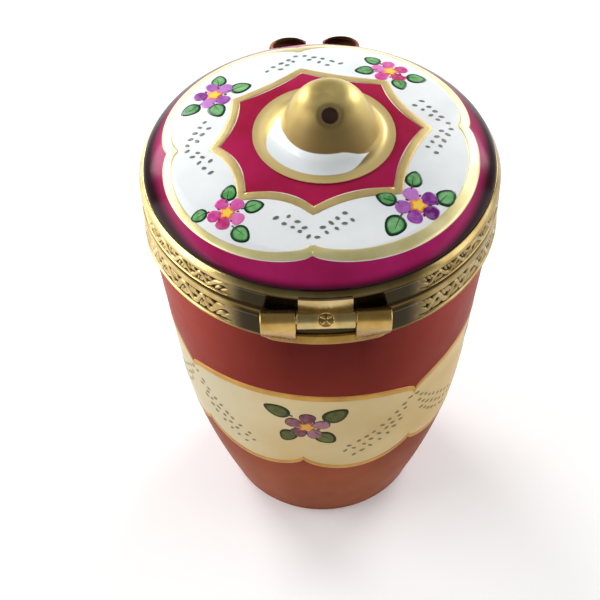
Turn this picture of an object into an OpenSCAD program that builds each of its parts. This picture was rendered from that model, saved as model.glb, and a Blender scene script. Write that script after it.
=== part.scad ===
// Hinged porcelain powder jar: a tapered jar and a crowned lid, each held in a gilt brass
// collar, joined by a three-knuckle hinge at the back and closed by a bow clasp at the front.
// The hinge lies towards -Y, the clasp towards +Y, and the foot rests on z = 0.

/* [Porcelain jar] */
// Outside diameter of the two brass collars, the widest part of the jar
collar_d = 40; // [39:0.5:42]
// Height of the parting plane, where the lid meets the jar
parting_z = 48.2; // [46:0.1:52]
// Diameter of the jar where its side meets the rounded foot
foot_d = 24; // [22:0.5:26]
// Wall thickness of the porcelain
wall = 2.2; // [2:0.1:2.4]
// Thickness of the floor above the rest plane
floor_t = 3.2; // [2.6:0.1:4]
// How much the radius shrinks for each millimetre down the straight part of the side
side_taper = 0.092; // [0.07:0.002:0.1]

/* [Lid and knob] */
// Height of the lid's flat knob seat above the top of its collar
lid_rise = 3.8; // [3.4:0.1:4.4]
// Diameter of the knob's flared base
knob_base_d = 15.6; // [14.6:0.1:16]
// Diameter of the knob's dome at its foot
knob_dome_d = 11.4; // [10.8:0.1:11.8]
// Height of the knob above the lid
knob_h = 5.9; // [5.4:0.1:6.6]
// Distance that the knob was set off the lid's centre, towards +X
knob_shift = 0.5; // [0:0.1:0.8]
// Distance that the dome was set off the middle of its own flare, towards +X
dome_shift = 0.55; // [0:0.05:0.6]
// Diameter of the vent hole that let air out of the hollow knob in the kiln
vent_d = 2.2; // [1.8:0.1:2.4]

/* [Brass collars] */
// Height of the embossed collar on the jar
lower_collar_h = 4.4; // [4.2:0.1:5]
// Height of the embossed collar on the lid
upper_collar_h = 3.05; // [2.9:0.05:3.4]
// Thickness of the collar strip, relief included
collar_t = 0.5; // [0.4:0.05:0.6]
// Thickness of the flat ring that closes each collar at the parting plane
seat_t = 0.8; // [0.6:0.1:0.9]
// Gap between the two seat rings when the lid is down
parting_gap = 0.1; // [0.06:0.02:0.16]

/* [Hinge] */
// Length of the whole hinge barrel
hinge_len = 13.6; // [12.8:0.2:14.4]
// Length of the knuckle in the middle, which belongs to the lid
centre_knuckle_len = 6.1; // [5.4:0.1:6.6]
// Outside diameter of the barrel
barrel_d = 2.1; // [2:0.05:2.2]
// Diameter of the hinge pin
pin_d = 1; // [0.8:0.05:1.1]
// Distance from the collar's outer face out to the hinge axis
axis_out = 0.5; // [0.45:0.05:0.55]

/* [Clasp] */
// Width of the bow from tip to tip
bow_w = 11; // [9.6:0.2:12]
// Height of the bow's loops
bow_h = 4.8; // [4.2:0.1:5.2]
// Depth of the bow, front to back
bow_depth = 2.1; // [1.8:0.1:2.4]
// Width of the spring tongue behind the bow
tongue_w = 3.4; // [3:0.1:4]

/* [Hidden] */

round_fn = 96;
small_fn = 48;
eps = 0.01;

// Radii shared by the porcelain and the brass
collar_r = collar_d / 2;
collar_in_r = collar_r - collar_t;
cement_t = 0.6;
neck_r = collar_in_r - cement_t;
side_r = collar_in_r;
mouth_r = side_r - wall - 0.1;

// Heights, from the foot up
lower_top = parting_z - parting_gap / 2;
upper_bottom = parting_z + parting_gap / 2;
lower_bottom = lower_top - lower_collar_h;
neck_top = lower_top - seat_t;
upper_top = upper_bottom + upper_collar_h;
lid_seat_z = upper_bottom + seat_t;
knob_seat_z = upper_top + lid_rise;

// Side of the jar: a cone that draws in faster below bend_z
bend_z = lower_bottom / 2;
draw_power = 1.7;
foot_round = 0.9;
floor_round = 1.5;
side_steps = 20;
floor_edge_z = floor_t + floor_round;
foot_draw = side_r - side_taper * lower_bottom - foot_d / 2;
function cone_r(z) = side_r - side_taper * (lower_bottom - z);
function jar_r(z) = cone_r(z) - foot_draw * pow(max(0, 1 - z / bend_z), draw_power);
function jar_in_r(z) = jar_r(z) - wall;

// Lid: a shallow crown that rolls over into a bevel, down to the top of the collar
bevel_w = 3.15;
crown_drop = 1.35;
roll = 0.5;
seat_pad_r = knob_base_d / 2 + knob_shift + 0.3;
rebate_z = upper_top - 0.2;
lid_side_r = side_r - 0.05;
lid_side_z = upper_top + 0.25;
crown_r = lid_side_r - bevel_w;
crown_edge_z = knob_seat_z - crown_drop;
crown_fall = crown_drop / (crown_r * crown_r - seat_pad_r * seat_pad_r);
crown_slope = atan(2 * crown_fall * crown_r);
lid_steps = 10;
bevel = [[lid_side_r, lid_side_z], [lid_side_r, lid_side_z + roll],
         [crown_r + roll * cos(crown_slope), crown_edge_z - roll * sin(crown_slope)],
         [crown_r, crown_edge_z]];
function crown_z(r) = knob_seat_z - crown_fall * (r * r - seat_pad_r * seat_pad_r);
function bevel_point(t) = pow(1 - t, 3) * bevel[0] + 3 * pow(1 - t, 2) * t * bevel[1]
    + 3 * (1 - t) * t * t * bevel[2] + pow(t, 3) * bevel[3];

// Knob: a hollow, bell-shaped dome on a concave flare
flare_h = 1.3;
flare_edge_h = 0.2;
dome_foot_h = 0.45;
dome_r = knob_dome_d / 2;
dome_h = knob_h - dome_foot_h;
flare_top_r = dome_r - dome_shift - 0.25;
dome_base_power = 4.2;
dome_rise_power = 0.72;
knob_wall = 1.3;
dome_steps = 16;
vent_root_h = 1.8;
vent_tilt = 40;

// Hinge
axis_y = -(collar_r + axis_out);
barrel_r = barrel_d / 2;
knuckle_gap = 0.08;
barrel_room = 0.15;
pin_fit = 0.05;
pin_hold = 0.02;
outer_knuckle_len = (hinge_len - centre_knuckle_len) / 2 - knuckle_gap;
leaf_t = 0.35;
leaf_half_angle = 20;
leaf_slot_w = centre_knuckle_len + 2.4;
leaf_slot_h = 1.5;
upper_leaf_half_angle = 8;
leaf_clip = barrel_r * 0.75;

// Clasp
tongue_gap = 0.3;
tongue_t = 0.35;
tongue_drop = 3.4;
tongue_rise = 2.4;
tongue_half_angle = asin(tongue_w / 2 / collar_r);
bead_r = 0.55;
bead_out = 0.22;
bow_back_y = collar_r + tongue_gap + tongue_t;
bow_mid_y = bow_back_y + bow_depth / 2;
bow_z = parting_z - 0.1;
knot_r = 0.95;
knot_len = 1.8;

// A closed ring turned from an outline of [radius, height] points
module ring(outline) {
    rotate_extrude($fn = round_fn)
        polygon(outline);
}

// A stretch of such a ring, centred on the direction that the angle mid gives
module ring_stretch(outline, mid, half_angle) {
    rotate([0, 0, mid - half_angle])
        rotate_extrude(angle = 2 * half_angle, $fn = round_fn)
            polygon(outline);
}

// Room for the barrel to turn in, over the whole length of the hinge
module barrel_space() {
    translate([-hinge_len / 2 - barrel_room, axis_y, parting_z])
        rotate([0, 90, 0])
            cylinder(r = barrel_r + barrel_room, h = hinge_len + 2 * barrel_room, $fn = small_fn);
}

// One knuckle: a tube along X from x0, bored for the pin
module knuckle(x0, len, bore_r) {
    translate([x0, axis_y, parting_z])
        rotate([0, 90, 0])
            difference() {
                cylinder(r = barrel_r, h = len, $fn = small_fn);
                translate([0, 0, -eps])
                    cylinder(r = bore_r, h = len + 2 * eps, $fn = small_fn);
            }
}

// Foot, side and neck, from the flat foot up to the mouth
function jar_outline() = concat(
    [[0, 0]],
    [for (a = [-90 : 15 : -15]) [jar_r(foot_round) + foot_round * (cos(a) - 1),
                                 foot_round * (1 + sin(a))]],
    [for (i = [0 : side_steps]) let (z = foot_round + (lower_bottom - foot_round) * i / side_steps)
        [jar_r(z), z]],
    [[neck_r, lower_bottom], [neck_r, neck_top], [mouth_r, neck_top]]
);

// Inside of the jar, from the mouth down to the middle of the floor
function jar_hollow() = concat(
    [for (i = [side_steps : -1 : 1])
        let (z = floor_edge_z + (lower_bottom - floor_edge_z) * i / side_steps) [jar_in_r(z), z]],
    [for (a = [0 : -18 : -90]) [jar_in_r(floor_edge_z) + floor_round * (cos(a) - 1),
                                floor_t + floor_round * (1 + sin(a))]],
    [[0, floor_t]]
);

module jar_body() {
    color([0.55, 0.20, 0.19])
        ring(concat(jar_outline(), jar_hollow()));
}

// Plaster that beds the collar on the neck
module lower_cement() {
    color([0.82, 0.79, 0.72])
        ring([[neck_r, lower_bottom], [collar_in_r, lower_bottom],
              [collar_in_r, neck_top], [neck_r, neck_top]]);
}

module lower_collar() {
    color([0.74, 0.60, 0.30])
        difference() {
            ring([[collar_in_r, lower_bottom], [collar_r, lower_bottom],
                  [collar_r, lower_top - 0.15], [collar_r - 0.15, lower_top],
                  [collar_in_r, lower_top]]);
            barrel_space();
        }
}

module lower_seat_ring() {
    color([0.70, 0.56, 0.28])
        difference() {
            ring([[mouth_r, neck_top], [collar_in_r, neck_top],
                  [collar_in_r, lower_top], [mouth_r, lower_top]]);
            barrel_space();
        }
}

// Plate under the outer knuckles, cut away below the middle one
module hinge_leaf_lower() {
    leaf_top = parting_z - leaf_clip;
    color([0.76, 0.62, 0.32])
        difference() {
            ring_stretch([[collar_r, lower_bottom], [collar_r + leaf_t, lower_bottom],
                          [collar_r + leaf_t, leaf_top], [collar_r, leaf_top]],
                         -90, leaf_half_angle);
            barrel_space();
            translate([-leaf_slot_w / 2, axis_y - 1, leaf_top - leaf_slot_h])
                cube([leaf_slot_w, 2, leaf_slot_h + 1]);
        }
}

// A knuckle with the foot that joins it to the plate below
module footed_knuckle(x0) {
    foot_low = parting_z - barrel_r * 1.9;
    difference() {
        union() {
            translate([x0, axis_y, parting_z])
                rotate([0, 90, 0])
                    cylinder(r = barrel_r, h = outer_knuckle_len, $fn = small_fn);
            translate([x0, axis_y - barrel_r, foot_low])
                cube([outer_knuckle_len, barrel_r + 0.4, parting_z - foot_low]);
        }
        translate([x0 - eps, axis_y, parting_z])
            rotate([0, 90, 0])
                cylinder(r = pin_d / 2 + pin_hold, h = outer_knuckle_len + 2 * eps, $fn = small_fn);
        ring([[0, 0], [collar_r + leaf_t, 0], [collar_r + leaf_t, parting_z - leaf_clip],
              [0, parting_z - leaf_clip]]);
        ring([[0, 0], [collar_r, 0], [collar_r, knob_seat_z], [0, knob_seat_z]]);
    }
}

module hinge_knuckle_left() {
    color([0.76, 0.62, 0.32])
        footed_knuckle(-hinge_len / 2);
}

module hinge_knuckle_right() {
    color([0.76, 0.62, 0.32])
        footed_knuckle(hinge_len / 2 - outer_knuckle_len);
}

module hinge_pin() {
    color([0.70, 0.56, 0.28])
        translate([-hinge_len / 2, axis_y, parting_z])
            rotate([0, 90, 0])
                cylinder(d = pin_d, h = hinge_len, $fn = small_fn);
}

// Small domed bead that the clasp's tongue snaps over
module catch_bead() {
    color([0.76, 0.62, 0.32])
        translate([0, collar_r, bow_z - tongue_drop + 1.2])
            rotate([-90, 0, 0])
                rotate_extrude($fn = small_fn)
                    polygon([[0, 0], [bead_r, 0], [bead_r * 0.9, bead_out * 0.6],
                             [bead_r * 0.5, bead_out], [0, bead_out]]);
}

// Rebate, bevel and crown of the lid, from its seat up to the flat under the knob
function lid_outline() = concat(
    [[neck_r, lid_seat_z], [neck_r, rebate_z], [lid_side_r, rebate_z]],
    [for (i = [0 : lid_steps]) bevel_point(i / lid_steps)],
    [for (i = [1 : lid_steps]) let (r = crown_r + (seat_pad_r - crown_r) * i / lid_steps)
        [r, crown_z(r)]],
    [[0, knob_seat_z]]
);

// Inside of the lid, one wall below the crown
function lid_hollow() = [
    [0, knob_seat_z - wall], [seat_pad_r, knob_seat_z - wall],
    [crown_r - 1.8, crown_edge_z - wall + 0.1], [crown_r - 0.4, crown_edge_z - wall - 0.6],
    [mouth_r, lid_side_z - 1.2], [mouth_r, lid_seat_z]
];

module lid_shell() {
    color([0.62, 0.12, 0.30])
        ring(concat(lid_outline(), lid_hollow()));
}

// Outline of the knob's flare, which lies on the lid
function flare_outline() = concat(
    [[0, 0], [knob_base_d / 2, 0]],
    [for (a = [0 : 15 : 90])
        [knob_base_d / 2 - (knob_base_d / 2 - flare_top_r) * sin(a),
         flare_edge_h + (flare_h - flare_edge_h) * (1 - cos(a))]],
    [[0, flare_h]]
);

// Outline of a dome of radius r and height h that stands on a straight foot
function dome_outline(r, h, low) = concat(
    [[0, low], [r, low]],
    [for (i = [0 : dome_steps - 1]) let (a = 90 * i / dome_steps)
        [r * pow(cos(a), 2 / dome_base_power),
         dome_foot_h + h * pow(sin(a), 2 / dome_rise_power)]],
    [[0, dome_foot_h + h]]
);

module lid_knob() {
    color([0.78, 0.66, 0.36])
        translate([knob_shift, 0, knob_seat_z])
            difference() {
                union() {
                    ring(flare_outline());
                    translate([dome_shift, 0, 0])
                        ring(dome_outline(dome_r, dome_h, 0));
                }
                translate([dome_shift, 0, 0])
                    ring(dome_outline(dome_r - knob_wall, dome_h - knob_wall, -eps));
                translate([dome_shift, 0, vent_root_h])
                    rotate([vent_tilt, 0, 0])
                        cylinder(d = vent_d, h = knob_h, $fn = small_fn);
            }
}

// Plaster that beds the lid in its collar
module upper_cement() {
    color([0.82, 0.79, 0.72])
        ring([[neck_r, lid_seat_z], [collar_in_r, lid_seat_z],
              [collar_in_r, rebate_z], [neck_r, rebate_z]]);
}

// Collar whose top edge is rolled in over the edge of the porcelain
module upper_collar() {
    color([0.74, 0.60, 0.30])
        difference() {
            ring([[collar_in_r, upper_bottom], [collar_r, upper_bottom],
                  [collar_r, upper_top - 0.4], [collar_r - 0.12, upper_top - 0.12],
                  [collar_in_r + 0.05, upper_top], [collar_in_r, rebate_z]]);
            barrel_space();
        }
}

module upper_seat_ring() {
    color([0.70, 0.56, 0.28])
        difference() {
            ring([[mouth_r, upper_bottom], [collar_in_r, upper_bottom],
                  [collar_in_r, lid_seat_z], [mouth_r, lid_seat_z]]);
            barrel_space();
        }
}

// Plate on the lid's collar that carries the middle knuckle
module hinge_leaf_upper() {
    leaf_bottom = parting_z + leaf_clip;
    color([0.76, 0.62, 0.32])
        difference() {
            ring_stretch([[collar_r, leaf_bottom], [collar_r + leaf_t, leaf_bottom],
                          [collar_r + leaf_t, upper_top - 0.5], [collar_r, upper_top - 0.5]],
                         -90, upper_leaf_half_angle);
            translate([-hinge_len / 2, axis_y, parting_z])
                rotate([0, 90, 0])
                    cylinder(r = barrel_r, h = hinge_len, $fn = small_fn);
        }
}

module hinge_knuckle_centre() {
    color([0.78, 0.64, 0.34])
        knuckle(-centre_knuckle_len / 2, centre_knuckle_len, pin_d / 2 + pin_fit);
}

// Springy tongue that hangs from the lid's collar and hooks over the bead
module clasp_tongue() {
    tongue_r = collar_r + tongue_gap;
    color([0.76, 0.62, 0.32])
        ring_stretch([[collar_r, upper_bottom + 0.4], [tongue_r, upper_bottom + 0.4],
                      [tongue_r, bow_z - tongue_drop], [tongue_r + tongue_t, bow_z - tongue_drop],
                      [tongue_r + tongue_t, bow_z + tongue_rise],
                      [collar_r, bow_z + tongue_rise]],
                     90, tongue_half_angle);
}

// Keeps only the slab that the bow's flat front and back leave
module bow_slab(extra = 0) {
    intersection() {
        children();
        translate([-bow_w, bow_back_y, bow_z - bow_h])
            cube([2 * bow_w, bow_depth + extra, 2 * bow_h]);
    }
}

// One puffed loop, swelling from the knot out to its round tip; side is -1 or 1
module bow_loop(side) {
    root_r = knot_r * 0.6;
    belly = bow_w / 2 * 0.6;
    color([0.60, 0.44, 0.24])
        bow_slab()
            translate([0, bow_mid_y, bow_z])
                rotate([0, side * 90, 0])
                    rotate_extrude($fn = small_fn)
                        polygon(concat(
                            [[0, knot_len / 2]],
                            [for (a = [0 : 15 : 90])
                                [root_r + (bow_h / 2 - root_r) * sin(a),
                                 knot_len / 2 + (belly - knot_len / 2) * a / 90]],
                            [for (a = [75 : -15 : 15])
                                [bow_h / 2 * sin(a), belly + (bow_w / 2 - belly) * cos(a)]],
                            [[0, bow_w / 2]]
                        ));
}

module bow_loop_left() {
    bow_loop(-1);
}

module bow_loop_right() {
    bow_loop(1);
}

// Barrel-shaped band that gathers the two loops
module bow_knot() {
    color([0.62, 0.46, 0.25])
        bow_slab(0.4)
            translate([-knot_len / 2, bow_mid_y, bow_z])
                rotate([0, 90, 0])
                    rotate_extrude($fn = small_fn)
                        polygon([[0, 0], [knot_r * 0.8, 0], [knot_r * 1.15, knot_len * 0.25],
                                 [knot_r * 1.25, knot_len * 0.5], [knot_r * 1.15, knot_len * 0.75],
                                 [knot_r * 0.8, knot_len], [0, knot_len]]);
}

jar_body();
lower_cement();
lower_collar();
lower_seat_ring();
hinge_leaf_lower();
hinge_knuckle_left();
hinge_knuckle_right();
hinge_pin();
catch_bead();
lid_shell();
lid_knob();
upper_cement();
upper_collar();
upper_seat_ring();
hinge_leaf_upper();
hinge_knuckle_centre();
clasp_tongue();
bow_loop_left();
bow_loop_right();
bow_knot();
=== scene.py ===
"""Looks of the hinged porcelain powder jar: glaze, gilding, painted sprays, embossed collars, hinge and bow.

Sizes are in millimetres until a mesh is made, when they become metres.
Angles round the jar are in degrees from the hinge side, growing towards +X.
"""
import math
import random

import bmesh
import bpy
import numpy as np
from mathutils import Matrix, Vector


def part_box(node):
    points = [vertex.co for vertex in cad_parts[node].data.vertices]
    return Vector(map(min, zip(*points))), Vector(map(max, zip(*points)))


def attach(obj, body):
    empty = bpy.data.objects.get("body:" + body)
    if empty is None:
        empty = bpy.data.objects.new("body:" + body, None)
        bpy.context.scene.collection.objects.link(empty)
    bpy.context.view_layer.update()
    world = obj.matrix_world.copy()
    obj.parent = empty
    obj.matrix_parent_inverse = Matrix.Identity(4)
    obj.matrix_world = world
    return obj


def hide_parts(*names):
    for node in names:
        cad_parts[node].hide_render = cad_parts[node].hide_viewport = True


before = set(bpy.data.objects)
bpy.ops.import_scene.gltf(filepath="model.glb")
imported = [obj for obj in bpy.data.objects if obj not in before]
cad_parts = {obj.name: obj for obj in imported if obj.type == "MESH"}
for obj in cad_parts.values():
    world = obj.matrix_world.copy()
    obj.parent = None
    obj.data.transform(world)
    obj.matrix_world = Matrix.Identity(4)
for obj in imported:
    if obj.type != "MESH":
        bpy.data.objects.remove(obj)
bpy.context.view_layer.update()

MM = 0.001

# ---- sizes from the frame


def box_mm(node):
    low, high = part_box(node)
    return np.array(low) / MM, np.array(high) / MM


LOWER_COLLAR = box_mm("lower_collar")
UPPER_COLLAR = box_mm("upper_collar")
JAR = box_mm("jar_body")
LID = box_mm("lid_shell")
KNOB = box_mm("lid_knob")
BARREL = box_mm("hinge_pin")
CENTRE_KNUCKLE = box_mm("hinge_knuckle_centre")
BOW_RIGHT = box_mm("bow_loop_right")
BOW_LEFT = box_mm("bow_loop_left")
BOW_KNOT = box_mm("bow_knot")

COLLAR_R = LOWER_COLLAR[1][0]
COLLAR_IN_R = COLLAR_R - 0.5
LOWER_BOTTOM, LOWER_TOP = LOWER_COLLAR[0][2], LOWER_COLLAR[1][2]
UPPER_BOTTOM, UPPER_TOP = UPPER_COLLAR[0][2], UPPER_COLLAR[1][2]
PARTING_Z = (LOWER_TOP + UPPER_BOTTOM) / 2
SIDE_R = JAR[1][0]
NECK_TOP = JAR[1][2]
LID_SIDE_R = LID[1][0]
LID_SEAT_Z = LID[0][2]
KNOB_SEAT_Z = KNOB[0][2]
KNOB_X = (KNOB[0][0] + KNOB[1][0]) / 2
KNOB_BASE_R = (KNOB[1][0] - KNOB[0][0]) / 2
KNOB_H = KNOB[1][2] - KNOB[0][2]
AXIS_Y = (BARREL[0][1] + BARREL[1][1]) / 2
HINGE_HALF = BARREL[1][0]
PIN_R = (BARREL[1][2] - BARREL[0][2]) / 2
BARREL_R = (CENTRE_KNUCKLE[1][2] - CENTRE_KNUCKLE[0][2]) / 2
CENTRE_HALF = CENTRE_KNUCKLE[1][0]

# Outline of the jar's side, the same rule as in the CAD source
WALL = 2.2
FLOOR_T = 3.2
SIDE_TAPER = 0.092
FOOT_R = 12.0
FOOT_ROUND = 0.9
FOOT_GLAZE_R = FOOT_R - 3.0
BEND_Z = LOWER_BOTTOM / 2
DRAW_POWER = 1.7
FOOT_DRAW = SIDE_R - SIDE_TAPER * LOWER_BOTTOM - FOOT_R
NECK_R = COLLAR_IN_R - 0.6
MOUTH_R = SIDE_R - WALL - 0.1

# Outline of the lid: a crown that rolls over into a bevel
BEVEL_W, CROWN_DROP, ROLL = 3.15, 1.35, 0.5
LID_SIDE_Z = UPPER_TOP + 0.25
CROWN_R = LID_SIDE_R - BEVEL_W
CROWN_EDGE_Z = KNOB_SEAT_Z - CROWN_DROP
PAD_R = KNOB_BASE_R + KNOB_X + 0.3
CROWN_FALL = CROWN_DROP / (CROWN_R**2 - PAD_R**2)
CROWN_SLOPE = math.atan(2 * CROWN_FALL * CROWN_R)


def bevel_line(steps):
    """Points down the lid's bevel, from the crown's edge to the side."""
    ends = np.array([(CROWN_R, CROWN_EDGE_Z),
                     (CROWN_R + ROLL * math.cos(CROWN_SLOPE), CROWN_EDGE_Z - ROLL * math.sin(CROWN_SLOPE)),
                     (LID_SIDE_R, LID_SIDE_Z + ROLL), (LID_SIDE_R, LID_SIDE_Z)])
    t = np.linspace(0, 1, steps)[:, None]
    return ((1 - t) ** 3 * ends[0] + 3 * (1 - t) ** 2 * t * ends[1] + 3 * (1 - t) * t * t * ends[2]
            + t**3 * ends[3])


BEVEL = bevel_line(400)


def jar_r(z):
    """Outside radius of the jar at height z."""
    cone = SIDE_R - SIDE_TAPER * (LOWER_BOTTOM - np.asarray(z, float))
    return cone - FOOT_DRAW * np.maximum(0, 1 - np.asarray(z, float) / BEND_Z) ** DRAW_POWER


def lid_z(r):
    """Height of the lid's outer face at radius r."""
    r = np.asarray(r, float)
    crown = KNOB_SEAT_Z - CROWN_FALL * (np.maximum(r, PAD_R) ** 2 - PAD_R**2)
    return np.where(r < CROWN_R, crown, np.interp(r, BEVEL[:, 0], BEVEL[:, 1]))


# ---- mesh helpers


def smoothstep(low, high, x):
    t = np.clip((x - low) / (high - low), 0, 1)
    return t * t * (3 - 2 * t)


def circle(count):
    """Angles of points spread evenly round a circle, in radians."""
    return np.arange(count) * 2 * math.pi / count


def round_jar(r, angle, z):
    """Points at a radius, an angle from the hinge side and a height."""
    return np.stack([r * np.sin(angle), -r * np.cos(angle), z], -1)


def set_values(mesh, values):
    """Gives each point of a mesh the numbers that its material reads."""
    for key, numbers in values.items():
        layer = mesh.attributes.new(key, "FLOAT", "POINT")
        layer.data.foreach_set("value", np.asarray(numbers, np.float32))


def make_piece(name, points, faces, materials, body, slot, replaces=(), values=None,
               face_material=None, sharp_angle=None):
    """A closed mesh piece from points in millimetres, riding on a body."""
    mesh = bpy.data.meshes.new(name)
    mesh.from_pydata((np.asarray(points, float) * MM).tolist(), [], faces)
    for material in materials if isinstance(materials, list) else [materials]:
        mesh.materials.append(material)
    if face_material is not None:
        mesh.polygons.foreach_set("material_index", np.asarray(face_material, np.int32))
    set_values(mesh, values or {})
    tidy = bmesh.new()
    tidy.from_mesh(mesh)
    bmesh.ops.recalc_face_normals(tidy, faces=tidy.faces)
    tidy.to_mesh(mesh)
    tidy.free()
    mesh.shade_smooth()
    if sharp_angle:
        mesh.set_sharp_from_angle(angle=math.radians(sharp_angle))
    piece = bpy.data.objects.new(name, mesh)
    bpy.context.scene.collection.objects.link(piece)
    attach(piece, body)
    if replaces:
        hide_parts(*replaces)
    return piece


def grid_faces(rows, columns, close_rows=False, close_columns=True):
    """Quads of a grid whose points run column by column along each row."""
    faces = []
    for i in range(rows if close_rows else rows - 1):
        row, above = i * columns, (i + 1) % rows * columns
        for j in range(columns if close_columns else columns - 1):
            after = (j + 1) % columns
            faces.append((row + j, row + after, above + after, above + j))
    return faces


def rod(rings):
    """Points and faces of a solid through a row of rings, flat at both ends."""
    count = len(rings[0])
    last = (len(rings) - 1) * count
    ends = [tuple(range(count)), tuple(last + i for i in reversed(range(count)))]
    return [point for ring in rings for point in ring], grid_faces(len(rings), count) + ends


def turned(outline, segments, wobble, seed=1):
    """Points and faces of a solid of revolution. The outline starts and ends on the axis."""
    body = outline[1:-1]
    angles = circle(segments)
    dice = np.random.default_rng(seed)
    waves = dice.uniform(0, 2 * math.pi, 3)
    out_of_round = wobble * sum(np.cos((k + 2) * angles + waves[k]) / (k + 1) for k in range(3))
    points = [round_jar(r + out_of_round * min(1.0, r / 10), angles, np.full(segments, z)) for r, z in body]
    points = np.concatenate(points + [[[0, 0, outline[0][1]], [0, 0, outline[-1][1]]]])
    faces = grid_faces(len(body), segments)
    first, last, base = len(points) - 2, len(points) - 1, (len(body) - 1) * segments
    for j in range(segments):
        after = (j + 1) % segments
        faces += [(first, after, j), (last, base + j, base + after)]
    return points, faces


def polar(points):
    """Radius and angle from the hinge side, in degrees from -180 to 180."""
    return np.hypot(points[:, 0], points[:, 1]), np.degrees(np.arctan2(points[:, 0], -points[:, 1]))


# ---- materials

# Sockets of a Mix node that mixes colours
MIX_FACTOR, MIX_FIRST, MIX_SECOND, MIX_RESULT = 0, 6, 7, 2


class Tree:
    """A node tree that ends in one shader, and the few kinds of node that feed it."""

    def __init__(self, owner, end):
        owner.use_nodes = True
        self.owner = owner
        self.nodes, self.links = owner.node_tree.nodes, owner.node_tree.links
        self.end = self.nodes[end]

    def put(self, socket, value):
        """Feeds a socket from another socket, or sets it to a number or a colour."""
        if isinstance(value, bpy.types.NodeSocket):
            self.links.new(value, socket)
        else:
            socket.default_value = (*value, 1) if socket.type == "RGBA" and len(value) == 3 else value

    def node(self, kind, inputs, **settings):
        made = self.nodes.new("ShaderNode" + kind)
        for key, value in settings.items():
            setattr(made, key, value)
        for key, value in inputs.items():
            self.put(made.inputs[key], value)
        return made

    def finish(self, inputs):
        """Feeds the shader at the end of the tree."""
        for key, value in inputs.items():
            self.put(self.end.inputs[key], value)
        return self.owner

    def coordinates(self, space="Object"):
        return self.node("TexCoord", {}).outputs[space]

    def noise(self, scale, detail=3.0, rough=0.5, stretch=None):
        """Fractal noise in object space; scale is in features per metre."""
        source = self.coordinates()
        if stretch:
            source = self.node("Mapping", {"Vector": source, "Scale": stretch}).outputs["Vector"]
        inputs = {"Vector": source, "Scale": scale, "Detail": detail, "Roughness": rough}
        return self.node("TexNoise", inputs).outputs["Fac"]

    def ramp(self, source, stops):
        """Colours placed along a 0 to 1 input."""
        node = self.node("ValToRGB", {"Fac": source})
        elements = node.color_ramp.elements
        while len(elements) < len(stops):
            elements.new(0.5)
        for element, (place, colour) in zip(elements, stops):
            element.position = place
            element.color = (*colour, 1)
        return node.outputs["Color"]

    def remap(self, source, low, high, to_low=0, to_high=1):
        inputs = {"Value": source, "From Min": low, "From Max": high, "To Min": to_low, "To Max": to_high}
        return self.node("MapRange", inputs).outputs["Result"]

    def mix(self, factor, first, second, mode="MIX"):
        inputs = {MIX_FACTOR: factor, MIX_FIRST: first, MIX_SECOND: second}
        return self.node("Mix", inputs, data_type="RGBA", blend_type=mode).outputs[MIX_RESULT]

    def value(self, name):
        """A number that the mesh carries at each point."""
        return self.node("Attribute", {}, attribute_name=name).outputs["Fac"]

    def inside(self, name, soft=0.03):
        """Turns a distance into an area, carried by the mesh in millimetres, into a mask."""
        return self.remap(self.value(name), -soft, soft)

    def speckled(self, dark, light, scale):
        """A colour that drifts between two tones, as brushed-on glaze does."""
        return self.ramp(self.noise(scale, 4), [(0.35, dark), (0.65, light)])

    def roughness(self, scale, detail, low, high):
        return self.remap(self.noise(scale, detail), 0.3, 0.7, low, high)

    def bump(self, scale, detail, strength, distance):
        inputs = {"Height": self.noise(scale, detail), "Strength": strength, "Distance": distance}
        return self.node("Bump", inputs).outputs["Normal"]


def material(name):
    return Tree(bpy.data.materials.new(name), "Principled BSDF")


def glazed_jar():
    """Brick-red glaze with a cream band; paint_band is the distance into the band, in millimetres."""
    f = material("glazed_jar")
    # Painted shade and light: the red is darkest at the top, in the shade under the collar, and lighter
    # towards the bottom
    upper = f.speckled((0.085, 0.0075, 0.0055), (0.120, 0.0110, 0.0080), 90)
    middle = f.speckled((0.175, 0.020, 0.011), (0.225, 0.030, 0.017), 100)
    lower = f.speckled((0.230, 0.055, 0.020), (0.290, 0.075, 0.030), 110)
    parts = f.node("SeparateXYZ", {"Vector": f.coordinates()}).outputs
    # Painted light and shade on the flanks: towards both sides the top of the red is much lighter and the
    # bottom a little darker, standing in for the side lamps
    from_middle = f.node("Math", {0: parts["X"]}, operation="ABSOLUTE").outputs[0]
    flank = f.remap(from_middle, 0.004, 0.015, 0, 0.85)
    lower = f.mix(flank, lower, (0.205, 0.044, 0.015))
    upper = f.mix(flank, upper, (0.310, 0.038, 0.024))
    red = f.mix(f.remap(parts["Z"], 0.012, 0.026), lower, middle)
    red = f.mix(f.remap(parts["Z"], 0.028, 0.042), red, upper)
    streaks = f.remap(f.noise(420, 5, 0.6, stretch=(1, 1, 0.3)), 0.45, 0.80, 0, 0.18)
    red = f.mix(streaks, red, (0.16, 0.022, 0.014))
    cream = f.speckled((0.52, 0.37, 0.165), (0.61, 0.48, 0.26), 70)
    # Painted light: the cream turns paler and whiter towards the left (-X) side
    cream = f.mix(f.remap(parts["X"], -0.004, -0.013, 0, 0.8), cream, (0.45, 0.41, 0.29))
    colour = f.mix(f.inside("paint_band", 0.04), red, cream)
    colour = f.mix(f.remap(f.value("inside"), 0.4, 0.6), colour, (0.80, 0.82, 0.82))
    bare = f.inside("bare", 0.1)
    colour = f.mix(bare, colour, f.speckled((0.42, 0.36, 0.29), (0.55, 0.48, 0.40), 900))
    rough = f.mix(bare, f.roughness(300, 3, 0.34, 0.42), (0.75, 0.75, 0.75))
    return f.finish({"Base Color": colour, "Roughness": rough, "Normal": f.bump(120, 2, 0.05, 0.0003),
                     "Specular IOR Level": 0.02, "Specular Tint": (1.0, 0.55, 0.42)})


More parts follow.
